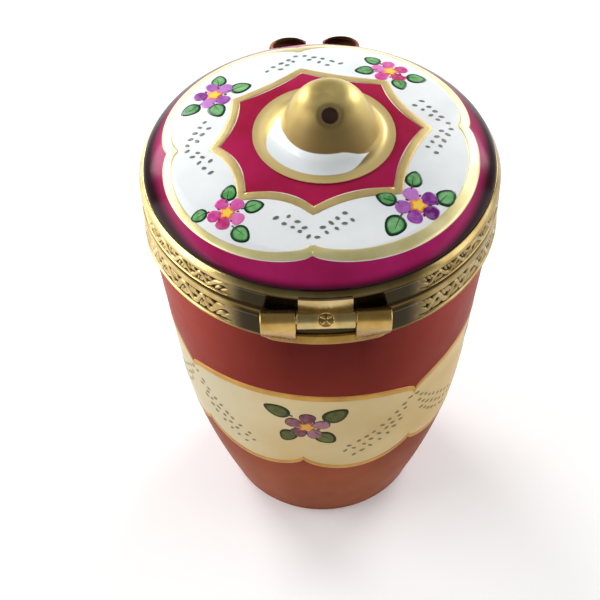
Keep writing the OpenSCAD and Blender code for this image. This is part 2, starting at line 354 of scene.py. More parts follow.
def glazed_lid():
    """White porcelain with a crimson star and a crimson rim; star and rim are distances in millimetres."""
    f = material("glazed_lid")
    crimson = f.speckled((0.300, 0.010, 0.034), (0.420, 0.015, 0.085), 110)
    rim = f.speckled((0.300, 0.011, 0.072), (0.410, 0.018, 0.125), 120)
    # Painted shade: near black low on the rim by the collar, and higher up round its flanks
    rim = f.mix(f.value("side"), (0.014, 0.001, 0.004), rim)
    white = f.speckled((0.72, 0.76, 0.77), (0.84, 0.86, 0.86), 120)
    colour = f.mix(f.inside("star"), white, crimson)
    colour = f.mix(f.inside("rim"), colour, rim)
    # Painted shade: the inside of the lid is a grey-white, darker than its white glaze outside
    shaded_underside = f.speckled((0.46, 0.46, 0.45), (0.50, 0.50, 0.49), 900)
    colour = f.mix(f.remap(f.value("inside"), 0.4, 0.6), colour, shaded_underside)
    return f.finish({"Base Color": colour, "Roughness": f.roughness(800, 4, 0.12, 0.20),
                     "Normal": f.bump(230, 2, 0.08, 0.0003), "Specular IOR Level": 0.07})


def metal(name, dark, light, rough, scale, bump_strength=0.12, metallic=0.95):
    f = material(name)
    return f.finish({"Base Color": f.speckled(dark, light, scale), "Metallic": metallic,
                     "Roughness": f.roughness(scale * 2.2, 5, *rough),
                     "Normal": f.bump(scale * 3, 4, bump_strength, 0.00006)})


def embossed_brass():
    """Gilt brass, bright on the relief and dark with oxide in its hollows; relief and shade run from 0 to 1.
    Shade is painted light and shade, and relief also carries painted shadow in the barrel's groove and the
    gap between the collars.
    """
    f = material("embossed_brass")
    relief = f.value("relief")
    bright = f.speckled((0.52, 0.355, 0.115), (0.74, 0.56, 0.235), 420)
    # Painted shade and light from the shade value: near black where it is 0
    painted_shading = f.mix(f.value("shade"), (0.028, 0.018, 0.004), bright)
    hollow = f.ramp(relief, [(0.10, (0.018, 0.011, 0.004)), (0.45, (0.14, 0.085, 0.028))])
    colour = f.mix(f.remap(relief, 0.38, 0.80), hollow, painted_shading)
    return f.finish({"Base Color": colour, "Metallic": 0.95, "Normal": f.bump(2600, 4, 0.15, 0.00005),
                     "Roughness": f.remap(relief, 0.1, 0.8, 0.50, 0.20)})


def gilded_knob():
    """Satin gilding over white porcelain; white is the distance into the bare patch, in millimetres."""
    f = material("gilded_knob")
    ring, vent_shadow, shaded = f.value("ring"), f.value("vent_shadow"), f.value("shaded")
    bare = f.inside("white", 0.05)
    gold = f.speckled((0.46, 0.350, 0.110), (0.58, 0.465, 0.170), 200)
    # Painted shade on the lower front of the dome, and a dark brown floor in the vent painted as the shadow
    # down the hole
    for mask, colour in ((shaded, (0.215, 0.150, 0.055)), (ring, (0.59, 0.45, 0.175)),
                         (vent_shadow, (0.120, 0.056, 0.024)), (bare, (0.80, 0.84, 0.85))):
        gold = f.mix(mask, gold, colour)
    metallic = f.mix(vent_shadow, f.remap(ring, 0, 1, 0.95, 0.45), (0, 0, 0))
    rough = f.mix(shaded, f.roughness(650, 5, 0.31, 0.42), (0.55, 0.55, 0.55))
    return f.finish({"Base Color": gold, "Metallic": f.mix(bare, metallic, (0, 0, 0)),
                     "Roughness": f.mix(bare, rough, (0.12, 0.12, 0.12)),
                     "Normal": f.bump(900, 4, 0.09, 0.00008)})


def dab_paint(name, core, rim, rim_width, tones=None, wash=0.25, gloss=0.25):
    """Brushed enamel: edge runs from 0 at a dab's outline to 1 in its middle, tone picks a shade."""
    f = material(name)
    body = f.ramp(f.value("tone"), tones) if tones else core
    washed = f.noise(1500, 3)
    streaked = f.mix(f.remap(washed, 0.4, 0.7, 0, wash), body, core)
    line = f.remap(f.value("edge"), rim_width * 0.6, rim_width)
    return f.finish({"Base Color": f.mix(line, rim, streaked), "IOR": 1.5, "Specular IOR Level": gloss,
                     "Roughness": f.remap(washed, 0.3, 0.7, 0.14, 0.26),
                     "Coat Weight": 0.4 * gloss, "Coat Roughness": 0.06})


# ---- surfaces that paint lies on

GIRTH_R = 17.7
PAINT_H, PAINT_ROOT = 0.042, -0.04


def lifted(outline, place, lift, step):
    """Points lifted off an outline: its value there, and the place along it."""
    slope = (outline(place + step) - outline(place - step)) / (2 * step)
    size = np.sqrt(1 + slope**2)
    return outline(place) + lift / size, place - lift * slope / size


class Side:
    """The jar's side, flattened: first coordinate along the girth in millimetres, second the height."""

    def place(self, flat, lift):
        r, z = lifted(jar_r, flat[:, 1], lift, 0.05)
        return round_jar(r, flat[:, 0] / GIRTH_R, z)

    def spot(self, degrees, z):
        return np.array([math.radians(degrees) * GIRTH_R, z])


class Crown:
    """The lid's top, seen from above, in millimetres."""

    def place(self, flat, lift):
        r = np.maximum(np.hypot(flat[:, 0], flat[:, 1]), 1e-6)
        z, out = lifted(lid_z, r, lift, 0.02)
        return np.column_stack([flat * (out / r)[:, None], z])

    def spot(self, degrees, r):
        return round_jar(r, math.radians(degrees), 0)[:2]


side, crown = Side(), Crown()


def across_path(path, closed):
    """Unit vectors square to a flat path."""
    ahead = np.roll(path, -1, 0) if closed else np.vstack([path[1:], path[-1:]])
    behind = np.roll(path, 1, 0) if closed else np.vstack([path[:1], path[:-1]])
    along = ahead - behind
    along /= np.maximum(np.linalg.norm(along, axis=1)[:, None], 1e-9)
    return np.stack([-along[:, 1], along[:, 0]], -1)


def painted_line(surface, path, half_width, height=PAINT_H, columns=7, closed=True, upright=False):
    """Points and faces of a raised line of paint with a domed section. Its width is measured square to
    the path, or upright, which keeps cusps crisp."""
    count = len(path)
    across = np.array([[0.0, 1.0]]) if upright else across_path(path, closed)
    half = np.broadcast_to(np.asarray(half_width, float), (count,))
    rows = []
    for j in range(columns):
        place = 2 * j / (columns - 1) - 1
        lift = PAINT_ROOT if abs(place) > 0.999 else height * (1 - place**4)
        rows.append(surface.place(path + across * (half * place)[:, None], lift))
    faces = grid_faces(columns, count, close_rows=True, close_columns=closed)
    if not closed:
        faces += [tuple(j * count for j in range(columns)),
                  tuple(j * count + count - 1 for j in reversed(range(columns)))]
    return np.concatenate(rows), faces


# Rings of a dab of paint, from its outline inwards: share of the outline's size and of the dab's height
DAB_RINGS = ((1.0, None), (0.92, 0.75), (0.78, 1.0), (0.55, 1.0), (0.28, 1.0))


class Batch:
    """Collects dabs and lines of paint into one piece."""

    def __init__(self):
        self.points, self.faces, self.edge, self.tone, self.kind = [], [], [], [], []
        self.count = 0

    def add(self, points, faces, edge=1.0, tone=0.5, kind=0):
        self.points.append(points)
        self.faces += [tuple(i + self.count for i in f) for f in faces]
        self.edge.append(np.broadcast_to(edge, len(points)))
        self.tone.append(np.full(len(points), tone))
        self.kind += [kind] * len(faces)
        self.count += len(points)

    def dab(self, surface, centre, outline, tone, kind=0, height=PAINT_H):
        """Adds a filled dab of paint with a soft dome; edge grows from its outline to its middle."""
        count = len(outline)
        layers = [(centre + (outline - centre) * size, share) for size, share in DAB_RINGS]
        layers += [(np.array([centre]), share) for share in (1.0, None)]
        points = np.concatenate([surface.place(flat, PAINT_ROOT if share is None else height * share)
                                 for flat, share in layers])
        faces = grid_faces(len(DAB_RINGS), count)
        base = (len(DAB_RINGS) - 1) * count
        for j in range(count):
            after = (j + 1) % count
            faces += [(base + j, base + after, len(points) - 2), (after, j, len(points) - 1)]
        edge = np.concatenate([np.full(count, 1 - size) for size, share in DAB_RINGS] + [[1.0, 0.0]])
        self.add(points, faces, edge, tone, kind)

    def make(self, name, materials, body, slot):
        values = {"edge": np.concatenate(self.edge), "tone": np.concatenate(self.tone)}
        make_piece(name, np.concatenate(self.points), self.faces, materials, body, slot, values=values,
                   face_material=self.kind)


# ---- outlines of the decoration

# Star on the lid: angle and radius of each painted tip; the arcs between them sag inwards
STAR_TIPS = ((-5, 10.8), (43, 11.2), (95, 11.4), (139, 11.0), (189, 10.7), (236, 10.5), (277, 11.0),
             (316, 11.7))
STAR_SAG_R = 8.7
STAR_STEPS = 24
STAR_LINE = 1.15

# Scalloped edges: angle of each cusp, value at a cusp, value of the lobe after each cusp, and the power
# by which an edge springs from its cusps. The lid's edges are radii and the band's are heights
LID_CUSPS = (-4.3, 97.3, 187.2, 272.9)
BAND_CUSPS = (35, 126, 216, 303)
SCALLOPS = {
    "lid_out": (LID_CUSPS, 16.5, (17.95, 18.1, 18.1, 18.1), 0.48),
    "lid_in": (LID_CUSPS, 15.2, (16.7, 17.0, 17.1, 17.3), 0.52),
    "band_top": (BAND_CUSPS, 29.0, (32.5,) * 4, 0.5),
    "band_bottom": (tuple(range(-9, 350, 45)), 18.2, (15.5,) * 8, 0.6),
}


def scallop(name, angles):
    """Value of a scalloped edge at each angle."""
    cusps, cusp_value, lobe_values, power = SCALLOPS[name]
    result = np.full_like(angles, float(cusp_value))
    for i, cusp in enumerate(cusps):
        following = cusps[i + 1] if i + 1 < len(cusps) else cusps[0] + 360
        share = ((angles - cusp) % 360) / (following - cusp)
        swell = np.sin(math.pi * np.clip(share, 0, 1)) ** power
        result = np.where(share < 1, cusp_value + (lobe_values[i] - cusp_value) * swell, result)
    return result


def star_outline():
    """Closed outline of the star: one sagging arc from each tip to the next."""
    outline = []
    for i, (angle, r) in enumerate(STAR_TIPS):
        next_angle, next_r = STAR_TIPS[(i + 1) % len(STAR_TIPS)]
        if next_angle < angle:
            next_angle += 360
        start, end = crown.spot(angle, r), crown.spot(next_angle, next_r)
        pull = crown.spot((angle + next_angle) / 2, STAR_SAG_R)
        for k in range(STAR_STEPS):
            t = k / STAR_STEPS
            outline.append((1 - t) ** 2 * start + 2 * t * (1 - t) * pull + t**2 * end)
    return np.array(outline)


def star_radius(angles):
    r, a = polar(star_outline())
    order = np.argsort(a % 360)
    return np.interp(angles % 360, (a % 360)[order], r[order], period=360)


# ---- porcelain

JAR_SEGMENTS, LID_SEGMENTS, KNOB_SEGMENTS = 360, 480, 256
OUT_OF_ROUND, KNOB_OUT_OF_ROUND = 0.02, 0.015
FLOOR_ROUND = 1.5
GLAZE_EDGE = 0.1

# The rim of the lid carries painted shade: it darkens from this far above the collar, and from higher up
# round its flanks
DARK_FROM, DARK_TO = 0.15, 1.0
DARK_FROM_FLANK, DARK_TO_FLANK = 0.80, 0.85
FLANK_FROM, FLANK_TO = 30, 78
LID_SIDE_BOTTOM = UPPER_TOP - 0.2
LID_SKIN = 0.6


def rounded_edge(r, z, size, degrees):
    """Points of the rounded edge between a side at radius r and a flat at height z."""
    return [(r + size * (math.cos(a) - 1), z + size * (1 + math.sin(a))) for a in np.radians(degrees)]


def make_jar():
    foot_edge = rounded_edge(jar_r(FOOT_ROUND), 0, FOOT_ROUND, np.linspace(-90, -8, 10))
    outer = [(jar_r(z), z) for z in np.linspace(FOOT_ROUND, LOWER_BOTTOM, 120)]
    inner = [(jar_r(z) - WALL, z) for z in np.linspace(LOWER_BOTTOM, FLOOR_T + FLOOR_ROUND, 40)]
    floor_edge = rounded_edge(inner[-1][0], FLOOR_T, FLOOR_ROUND, np.linspace(-10, -90, 9))
    outline = [(0, 0), (FOOT_GLAZE_R - GLAZE_EDGE, 0), (FOOT_GLAZE_R + GLAZE_EDGE, 0)] + foot_edge + outer
    outline += [(NECK_R, LOWER_BOTTOM), (NECK_R, NECK_TOP), (MOUTH_R, NECK_TOP)]
    outline += inner + floor_edge + [(0, FLOOR_T)]
    points, faces = turned(outline, JAR_SEGMENTS, OUT_OF_ROUND)
    r, angle = polar(points)
    z = points[:, 2]
    band = np.minimum(scallop("band_top", angle) - z, z - scallop("band_bottom", angle))
    bare = np.where((z < 0.05) & (r > FOOT_GLAZE_R), 1.0, -1.0)
    well = (r <= jar_r(z) - WALL * 0.5) & (z > FLOOR_T - 0.2)
    inside = well | (r < NECK_R - 0.3) & (z > LOWER_BOTTOM)
    make_piece("jar_porcelain", points, faces, glazed_jar(), "jar", "glazed_jar", ["jar_body"],
               {"paint_band": band, "bare": bare, "inside": inside}, sharp_angle=50)


def make_lid():
    pad = [(PAD_R * s, KNOB_SEAT_Z) for s in (0, 0.5, 0.97)]
    top = [(r, lid_z(r)) for r in np.linspace(PAD_R * 1.03, CROWN_R, 60)]
    bevel = [tuple(point) for point in bevel_line(40)[1:]]
    under = [(LID_SIDE_R, LID_SIDE_BOTTOM), (NECK_R, LID_SIDE_BOTTOM), (NECK_R, LID_SEAT_Z),
             (MOUTH_R, LID_SEAT_Z), (MOUTH_R, LID_SIDE_Z - 1.2), (CROWN_R - 0.4, CROWN_EDGE_Z - WALL - 0.6),
             (CROWN_R - 1.8, CROWN_EDGE_Z - WALL + 0.1), (PAD_R, KNOB_SEAT_Z - WALL), (0, KNOB_SEAT_Z - WALL)]
    points, faces = turned(pad + top + bevel + under, LID_SEGMENTS, OUT_OF_ROUND, seed=3)
    r, angle = polar(points)
    z = points[:, 2]
    outer = z > lid_z(np.minimum(r, LID_SIDE_R)) - LID_SKIN
    # Painted shade on the rim: the side value runs from 0 where it is darkest to 1 where it is fully lit
    flank = smoothstep(FLANK_FROM, FLANK_TO, np.abs(angle))
    dark_z = UPPER_TOP + DARK_FROM + DARK_FROM_FLANK * flank
    lit_z = UPPER_TOP + DARK_TO + DARK_TO_FLANK * flank
    make_piece("lid_porcelain", points, faces, glazed_lid(), "lid", "glazed_lid", ["lid_shell"],
               {"star": np.where(outer, star_radius(angle) - r, -1.0),
                "rim": np.where(outer, r - scallop("lid_out", angle), -1.0),
                "side": smoothstep(dark_z, lit_z, z), "inside": ~outer}, sharp_angle=50)


# ---- knob

FLARE_H, FLARE_EDGE_H = 1.3, 0.2
FLARE_TOP_R = 5.33
DOME_R, DOME_FOOT_H, DOME_SHIFT = 5.7, 0.45, 0.55
DOME_H = KNOB_H - DOME_FOOT_H
DOME_BASE_POWER, DOME_RISE_POWER = 4.2, 0.72
KNOB_WALL = 1.3
KNOB_FOOT = np.array([KNOB_X, 0, KNOB_SEAT_Z])
VENT_R, VENT_TILT, VENT_ROOT_H, VENT_FLOOR = 0.95, 40, 1.8, 3.55
VENT_DIP = 0.20
# Painted shade: the lower front of the dome is darkened and made rougher, standing in for the dark room that
# it reflects
SHADED_FOOT_H, SHADED_TOP_H = 3.6, 8.4
SHADED_FROM, SHADED_TO = 45, 98
RING_INNER_R = 6.75

# Bare white crescent at the knob's foot: the gold's lower edge, and angles where its horn and its end taper
GOLD_EDGE_H = 1.75
HORN_FROM, HORN_TO, HORN_IN = -62, -112, 1.35
WHITE_TO, WHITE_TAPER = 50, 32


def dome_line(r, h, first, steps):
    """Dome outline from the angle first up to just below its top."""
    angles = np.radians(90 - (90 - first) * np.linspace(1, 0.015, steps) ** 1.4)
    return [(r * math.cos(a) ** (2 / DOME_BASE_POWER), DOME_FOOT_H + h * math.sin(a) ** (2 / DOME_RISE_POWER))
            for a in angles]


def vent_axis():
    """Root point and direction of the vent, which slopes up towards the hinge side."""
    tilt = math.radians(VENT_TILT)
    root = KNOB_FOOT + np.array([DOME_SHIFT, 0, VENT_ROOT_H])
    return root, np.array([0, -math.sin(tilt), math.cos(tilt)])


def along_vent(points, root, way):
    """Depth of points along the vent's axis, and their distance from it."""
    along = (points - root) @ way
    return along, np.linalg.norm(points - root - along[:, None] * way, axis=1)


def make_knob():
    a = np.radians(np.linspace(0, 84, 26))
    flare_r = KNOB_BASE_R - (KNOB_BASE_R - FLARE_TOP_R) * np.sin(a)
    flare = list(zip(flare_r, FLARE_EDGE_H + (FLARE_H - FLARE_EDGE_H) * (1 - np.cos(a))))
    inner = dome_line(DOME_R - KNOB_WALL, DOME_H - KNOB_WALL, 8, 18)[::-1]
    dome = dome_line(DOME_R, DOME_H, 32, 80)
    foot = [(DOME_R - KNOB_WALL, 0.0), (KNOB_BASE_R - 0.12, 0.0), (KNOB_BASE_R, 0.1)]
    outline = [(0, KNOB_H - KNOB_WALL)] + inner + foot + flare + dome + [(0, KNOB_H)]
    leans = [1.0] * (len(inner) + 1) + [0.5, 0.0, 0.0]
    leans += [*smoothstep(KNOB_BASE_R - 0.8, FLARE_TOP_R + 0.1, flare_r)] + [1.0] * (len(dome) + 1)
    points, faces = turned(outline, KNOB_SEGMENTS, KNOB_OUT_OF_ROUND, seed=5)
    lean = np.concatenate([np.repeat(leans[1:-1], KNOB_SEGMENTS), [leans[0], leans[-1]]])
    points += KNOB_FOOT + lean[:, None] * (DOME_SHIFT, 0, 0)
    root, way = vent_axis()
    along, off = along_vent(points, root, way)
    sunk = VENT_DIP * (1 - smoothstep(VENT_R * 0.75, VENT_R * 1.6, off)) * (along > DOME_H * 0.6)
    points -= sunk[:, None] * way
    knob = make_piece("knob_porcelain", points, faces, gilded_knob(), "lid", "gilded_knob", ["lid_knob"])
    cut_vent(knob, root, way)
    set_values(knob.data, knob_values(knob.data, root, way))
    knob.data.set_sharp_from_angle(angle=math.radians(42))


def knob_values(mesh, root, way):
    """Where the knob is bare or pale, and where it carries painted shade: on the dome's lower front and as a
    dark floor in the vent.
    """
    points = np.zeros(len(mesh.vertices) * 3)
    mesh.vertices.foreach_get("co", points)
    points = points.reshape(-1, 3) / MM
    depth, off = along_vent(points, root, way)
    r, angle = polar(points - KNOB_FOOT)
    height = points[:, 2] - KNOB_SEAT_Z
    wave = 0.10 * np.sin(np.radians(angle * 3 + 20))
    horn = HORN_IN * smoothstep(HORN_FROM, HORN_TO, angle)
    taper = smoothstep(WHITE_TO - WHITE_TAPER, WHITE_TO, angle)
    white = np.minimum.reduce([GOLD_EDGE_H + wave - horn * 0.4 - taper - height,
                               RING_INNER_R - horn - 0.7 * taper - r,
                               np.radians(WHITE_TO - angle) * r * 0.5, np.radians(angle - HORN_TO) * r * 0.5])
    # Painted shade on the dome's lower front
    shaded = 1 - smoothstep(SHADED_FOOT_H, SHADED_TOP_H, height)
    return {"white": white, "ring": smoothstep(RING_INNER_R - 0.5, RING_INNER_R + 0.1, r),
            "vent_shadow": (off < VENT_R) & (depth > VENT_FLOOR - 0.1),
            "shaded": shaded * (1 - smoothstep(SHADED_FROM, SHADED_TO, np.abs(angle)))}


def cut_vent(knob, root, way):
    """Sinks the vent into the front slope of the dome; its floor is painted dark brown as the shadow down the
    hole.
    """
    bpy.ops.mesh.primitive_cylinder_add(vertices=64, radius=VENT_R * 0.92 * MM, depth=KNOB_H * MM)
    drill = bpy.context.object
    turn = Vector(way).to_track_quat("Z", "Y").to_matrix().to_4x4()
    drill.matrix_world = Matrix.Translation(Vector(root + way * (VENT_FLOOR + KNOB_H / 2)) * MM) @ turn
    cut = knob.modifiers.new("vent", "BOOLEAN")
    cut.object = drill
    cut.solver = "EXACT"
    bpy.context.view_layer.update()
    done = bpy.data.meshes.new_from_object(knob.evaluated_get(bpy.context.evaluated_depsgraph_get()))
    knob.modifiers.clear()
    knob.data = done
    done.shade_smooth()
    bpy.data.objects.remove(drill)


# ---- embossed collars

VINE_PITCH_COUNT = 42
COLLAR_COLUMNS = 1344
RELIEF_H, RELIEF_ROW = 0.28, 0.085
PLAIN_HALF_ANGLE, PLAIN_FADE = 28, 5
# Painted shade near the hinge, where only the lit edge rows stay bright, and painted light that makes the
# collars lighter on the left (-X) side and darker on the right
DARK_NEAR_HINGE = (25, 37)
LIT_EDGE = 0.28
SIDE_LIGHT, SIDE_LIGHT_SWING = 0.70, 0.28
GAP_SHADOW_MARK, PLAIN_MARK, FIELD_EDGE_MARK = 0.12, 0.85, 0.8
FIELD_FADE = 0.12
BARREL_ROOM, GROOVE_WALL = 0.13, 0.12
STEM_SWING = 0.27


def stroke(u, v, u0, v0, length, width, lean):
    """Height of one leaf stroke: a soft ellipse that leans."""
    c, s = math.cos(lean), math.sin(lean)
    a = ((u - u0) * c + (v - v0) * s) / length
    b = (-(u - u0) * s + (v - v0) * c) / width
    return np.clip(1 - a**2 - b**2, 0, 1) ** 0.5


def vine(u, v, pitch, height):
    """Relief of a running vine, from 0 in the ground to 1 on the stems. u runs round the collar."""
    drift = 0.11 * np.sin(17 * u / COLLAR_R) + 0.07 * np.sin(29 * u / COLLAR_R + 1)
    x = (u / pitch + drift) % 1.0
    stem_v = height * (0.5 + STEM_SWING * np.sin(2 * math.pi * x))
    slope = height * STEM_SWING * 2 * math.pi / pitch * np.cos(2 * math.pi * x)
    off = np.abs(v - stem_v) / np.sqrt(1 + slope**2)
    result = np.clip(1 - (off / (0.15 * height)) ** 2, 0, 1) ** 0.5
    for side_x, up in ((0.25, -1), (0.75, 1)):
        base_v = height * (0.5 + 0.20 * up)
        for shift, lean in ((-0.13, 1.05), (0.02, 0.9), (0.15, 0.75)):
            for wrap in (-pitch, 0, pitch):
                u0 = (side_x + shift) * pitch + wrap
                leaf = stroke(x * pitch, v, u0, base_v, height * 0.25, height * 0.095, lean * -up)
                result = np.maximum(result, leaf * 0.9)
    return result


def clear_of_barrel(r, z, angle, extra):
    """Presses a groove for the hinge barrel into a collar, where the two would meet."""
    x = r * np.sin(angle)
    reach = (BARREL_R + BARREL_ROOM + extra) ** 2 - (z - PARTING_Z) ** 2
    near = (np.abs(x) < HINGE_HALF + BARREL_ROOM) & (reach > 0) & (np.abs(angle) < 1.0)
    limit_y = -AXIS_Y - np.sqrt(np.maximum(reach, 0))
    limit = np.sqrt(limit_y**2 + x**2)
    return np.where(near, np.minimum(r, limit), r)


# Outer face of each collar: heights from its bottom or top edge and radii from COLLAR_R. The lip comes
# first, then the ends of the embossed field, the roll above it and the top edge
COLLARS = {
    "lower": (LOWER_BOTTOM, LOWER_TOP, ((0, -0.10), (0.06, -0.01), (0.2, 0.05), (0.36, 0)), 0.42, 1.35,
              ((0.07, 0), (0.16, 0.02), (0.5, -0.05), (0.95, -0.22)), ((0.12, -0.36), (0, -0.44))),
    "upper": (UPPER_BOTTOM, UPPER_TOP, ((0, -0.18), (0.05, -0.06), (0.14, 0)), 0.2, 0.95,
              ((0.06, 0), (0.16, 0.01), (0.45, -0.12)), ((0.15, -0.36), (0, -0.50))),
}


def collar_section(which):
    """Rows of a collar's outer face, from bottom to top, and the height of its embossed field. A row has
    its height, its radius, and its height in the field or None."""
    bottom, top, lip, start, end, roll, edge = COLLARS[which]
    low, high = bottom + start, top - end
    rows = round((high - low) / RELIEF_ROW)
    field = [low + (high - low) * i / rows for i in range(rows + 1)]
    return ([(bottom + z, COLLAR_R + r, None) for z, r in lip]
            + [(z, COLLAR_R - RELIEF_H, z - low) for z in field]
            + [(high + z, COLLAR_R + r, None) for z, r in roll]
            + [(top - z, COLLAR_R + r, None) for z, r in edge]), high - low


def make_collar(which, body):
    rows, field_h = collar_section(which)
    columns = COLLAR_COLUMNS
    angle = circle(columns) - math.pi
    from_hinge = np.abs(np.degrees(angle))
    pitch = 2 * math.pi * COLLAR_R / VINE_PITCH_COUNT
    worked = smoothstep(PLAIN_HALF_ANGLE, PLAIN_HALF_ANGLE + PLAIN_FADE, from_hinge)
    near_hinge = 1 - smoothstep(*DARK_NEAR_HINGE, from_hinge)
    side_light = SIDE_LIGHT - SIDE_LIGHT_SWING * np.sin(angle)
    radii, relief, shades = [], [], []
    for z, r, v in rows:
        # Painted shade near the hinge, except on the lit edge rows, and painted light that is lighter on the
        # left side
        lit = LIT_EDGE if v is None and z > rows[-1][0] - 0.75 or z < LOWER_BOTTOM + 0.4 else 0.0
        if v is None:
            # Painted shadow: rows in the gap between the collars take a dark mark
            shadowed = UPPER_BOTTOM <= z < UPPER_BOTTOM + 0.1 or LOWER_TOP - 0.5 < z <= LOWER_TOP
            height = np.full(columns, GAP_SHADOW_MARK if shadowed else 1.0)
            radii.append(np.full(columns, r))
        else:
            fade = smoothstep(0, FIELD_FADE, min(v, field_h - v))
            height = vine(angle * COLLAR_R, v, pitch, field_h) * fade + (1 - fade) * FIELD_EDGE_MARK
            height = height * worked + (1 - worked) * PLAIN_MARK
            radii.append(r + RELIEF_H * height)
        relief.append(height)
        shades.append((1 - near_hinge * (1 - lit)) * side_light)
    inner = np.ones((2, columns))
    z = np.array([row[0] for row in rows] + [rows[-1][0], rows[0][0]])[:, None] * np.ones(columns)
    whole = np.stack(radii)
    outer = clear_of_barrel(whole, z[:-2], angle, 0.0)
    # Painted shadow: where the groove for the hinge barrel is pressed in, the relief takes a dark mark
    relief_with_groove_shade = np.where(outer < whole - 0.005, 0.1, np.stack(relief))
    r = np.vstack([outer, clear_of_barrel(COLLAR_IN_R * inner, z[-2:], angle, GROOVE_WALL)])
    values = {"relief": np.vstack([relief_with_groove_shade, inner]).ravel(), "shade": np.vstack(shades + [inner]).ravel()}
    make_piece("collar_" + which, round_jar(r, angle, z).reshape(-1, 3),
               grid_faces(len(z), columns, close_rows=True), MATERIALS["embossed_brass"], body, "gilt_collar",
               [which + "_collar"], values, sharp_angle=55)


# ---- hinge

KNUCKLE_EASE, KNUCKLE_GAP = 0.07, 0.08
KNUCKLE_ROWS, KNUCKLE_COLUMNS = 150, 192
BORE_R = PIN_R + 0.05
SKIRT_Z, SKIRT_TOP = LOWER_BOTTOM + 0.55, PARTING_Z - 0.9
SKIRT_PROUD, SKIRT_EDGE, SKIRT_SINK = 0.36, 0.16, 0.02
ROSETTE_R, ROSETTE_DEPTH, ROSETTE_ANGLE = 0.84, 0.13, math.radians(48)
MARK_TARNISH, END_SHADE = 0.48, 0.72
LIP_HALF_ANGLE, LIP_STEPS, LIP_TAPER = math.radians(20), 60, 0.85
LIP_INNER_R = COLLAR_R - 0.02
LIP_BOTTOM, LIP_TOP = LOWER_BOTTOM - 0.02, PARTING_Z - 3.1


def round_the_pin(x, r, a):
    """Point at angle a round the hinge's axis, from the top towards the front."""
    return x, AXIS_Y - r * math.sin(a), PARTING_Z + r * math.cos(a)


def make_outer_knuckle(side_sign, node, name):
    """Barrel end with a skirt that runs down onto the collar's lip."""
    x_in, x_out = CENTRE_HALF + KNUCKLE_GAP, HINGE_HALF
    places = [x_in, x_in + KNUCKLE_EASE, *np.linspace(x_in + 0.3, x_out - 0.3, 16), x_out - KNUCKLE_EASE,
              x_out]
    rings = []
    for x in places:
        inset = KNUCKLE_EASE if x in (x_in, x_out) else 0.0
        collar_y = -math.sqrt(COLLAR_R**2 - x**2)
        ring = [round_the_pin(x, BARREL_R - inset, a)[1:] for a in np.radians(np.linspace(-70, 100, 22))]
        start_y, start_z = ring[-1]
        foot_y, back_y = collar_y - SKIRT_PROUD + inset, collar_y + SKIRT_SINK
        ring += [(start_y + (foot_y - start_y) * t**1.6, start_z + (SKIRT_Z - start_z) * t)
                 for t in np.linspace(0.1, 1, 14)]
        ring += [(collar_y - SKIRT_EDGE, SKIRT_Z - 0.12 + inset), (back_y, SKIRT_Z + 0.1)]
        ring += [(back_y, SKIRT_Z + (SKIRT_TOP - SKIRT_Z) * t) for t in np.linspace(0.2, 1, 6)]
        rings.append([(side_sign * x, y, z) for y, z in ring])
    make_piece(name, *rod(rings), MATERIALS["hinge_brass"], "jar", "gilt_plain", [node], sharp_angle=35)


def rosette(x, arc):
    """Height of the punched mark on the middle knuckle: four petals in a round recess, from 0 to 1."""
    r = np.hypot(x, arc) / ROSETTE_R
    a = np.arctan2(arc, x)
    petals = np.clip(-np.cos(4 * a), 0, 1) ** 0.4 * smoothstep(0.92, 0.74, r) * smoothstep(0.10, 0.26, r)
    return np.where(r < 1.0, np.maximum(petals, smoothstep(0.90, 1.0, r)), 1.0)


def make_centre_knuckle():
    reach = CENTRE_HALF - KNUCKLE_EASE
    angles = circle(KNUCKLE_COLUMNS)
    arc = ((angles - ROSETTE_ANGLE + math.pi) % (2 * math.pi) - math.pi) * BARREL_R
    points, relief = [], []
    for x in (-CENTRE_HALF, *np.linspace(-reach, reach, KNUCKLE_ROWS - 2), CENTRE_HALF):
        mark = rosette(x, arc)
        r = BARREL_R - (KNUCKLE_EASE if abs(x) == CENTRE_HALF else 0) - ROSETTE_DEPTH * (1 - mark)
        relief.append(mark)
        points += [round_the_pin(x, *place) for place in zip(r, angles)]
    for x in (CENTRE_HALF, -CENTRE_HALF):
        points += [round_the_pin(x, BORE_R, a) for a in angles]
        relief.append(np.ones(KNUCKLE_COLUMNS))
    faces = grid_faces(KNUCKLE_ROWS + 2, KNUCKLE_COLUMNS, close_rows=True)
    relief = MARK_TARNISH + (1 - MARK_TARNISH) * np.concatenate(relief)
    # Painted shade: the middle knuckle darkens at its ends, next to the outer knuckles
    shade = 1 - (1 - END_SHADE) * smoothstep(0.8, 1.4, np.abs(np.array(points)[:, 0]))
    make_piece("hinge_middle", points, faces, MATERIALS["embossed_brass"], "lid", "gilt_plain",
               ["hinge_knuckle_centre"], {"relief": relief, "shade": shade}, sharp_angle=40)


def make_leaf_lip():
    """Curved strap of the lower hinge plate, below the slot that clears the middle knuckle."""
    thick, z = np.array([(0, LIP_BOTTOM + 0.02), (0.20, LIP_BOTTOM), (0.32, LIP_BOTTOM + 0.08),
                         (0.36, LIP_BOTTOM + 0.25), (0.32, LIP_BOTTOM + 0.7), (0.26, LIP_TOP - 0.25),
                         (0.18, LIP_TOP - 0.06), (0, LIP_TOP)]).T
    rings = []
    for share in np.linspace(-1, 1, LIP_STEPS + 1):
        thin = 1 - smoothstep(0.8, 1.0, abs(share)) * LIP_TAPER
        rings.append(round_jar(LIP_INNER_R + thick * thin, LIP_HALF_ANGLE * share, z))
    make_piece("hinge_plate_lower", *rod(rings), MATERIALS["hinge_lip_brass"], "jar", "gilt_plain",
               ["hinge_leaf_lower"], sharp_angle=50)


# ---- bow clasp

LOOP_ROWS, LOOP_COLUMNS = 64, 72
KNOT_ROWS, KNOT_COLUMNS = 28, 56


